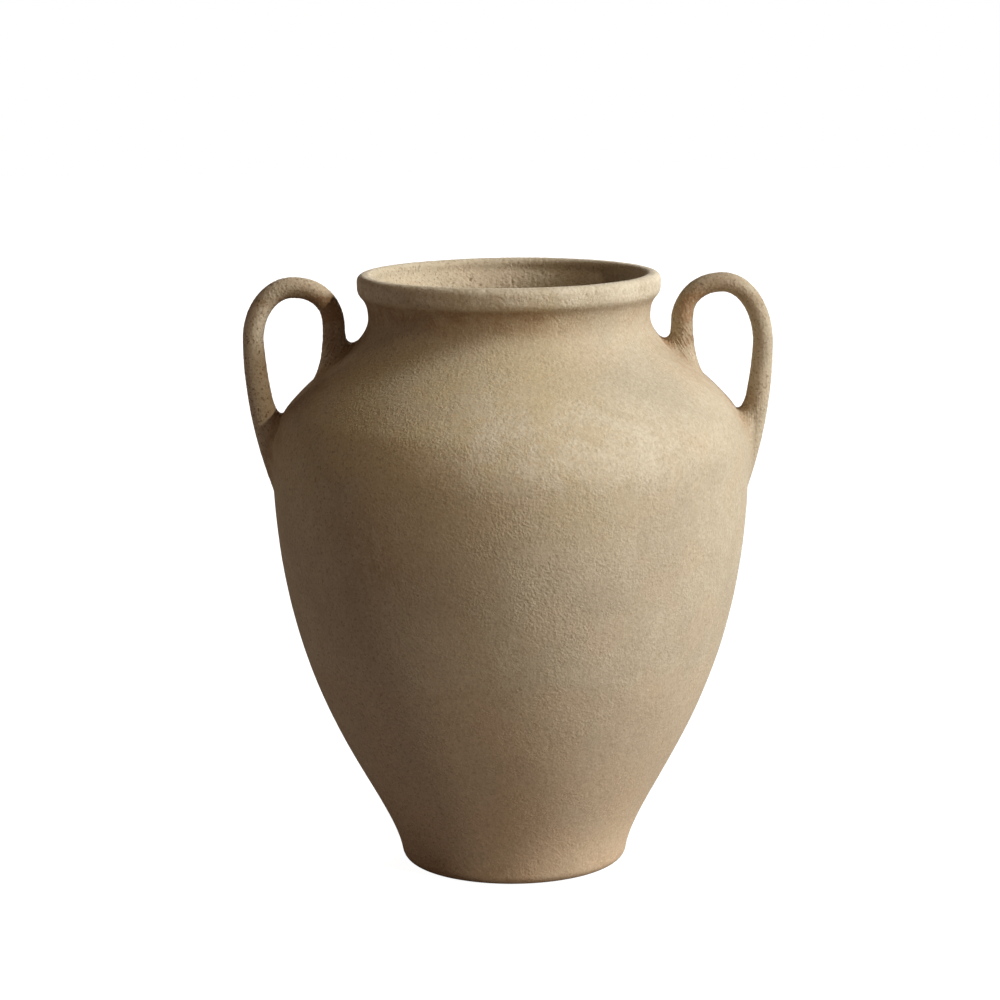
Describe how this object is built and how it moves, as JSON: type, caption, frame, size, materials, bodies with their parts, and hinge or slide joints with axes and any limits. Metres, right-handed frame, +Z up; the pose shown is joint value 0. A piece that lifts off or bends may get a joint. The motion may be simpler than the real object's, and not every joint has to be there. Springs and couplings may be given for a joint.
{
  "type": "vase",
  "caption": "Unglazed clay amphora vase with loop handles on its shoulder, a rolled rim, a short neck, a full belly and a narrow foot; holds stems or stands as decor.",
  "frame": {"origin": "middle of the base, on the plane that the vase stands on", "axes": "+Z up through the mouth, +X towards the right handle, -Y towards the front"},
  "size_m": [0.397, 0.358, 0.45],
  "materials": {
    "terracotta": "matte, unglazed, sandy"
  },
  "bodies": {
    "root": {"base_slab": "terracotta", "foot_wall": "terracotta", "lower_belly_wall": "terracotta", "upper_belly_wall": "terracotta", "shoulder_wall": "terracotta", "neck_ring": "terracotta", "rim_coil": "terracotta", "left_handle": "terracotta", "right_handle": "terracotta"}
  },
  "joints": []
}
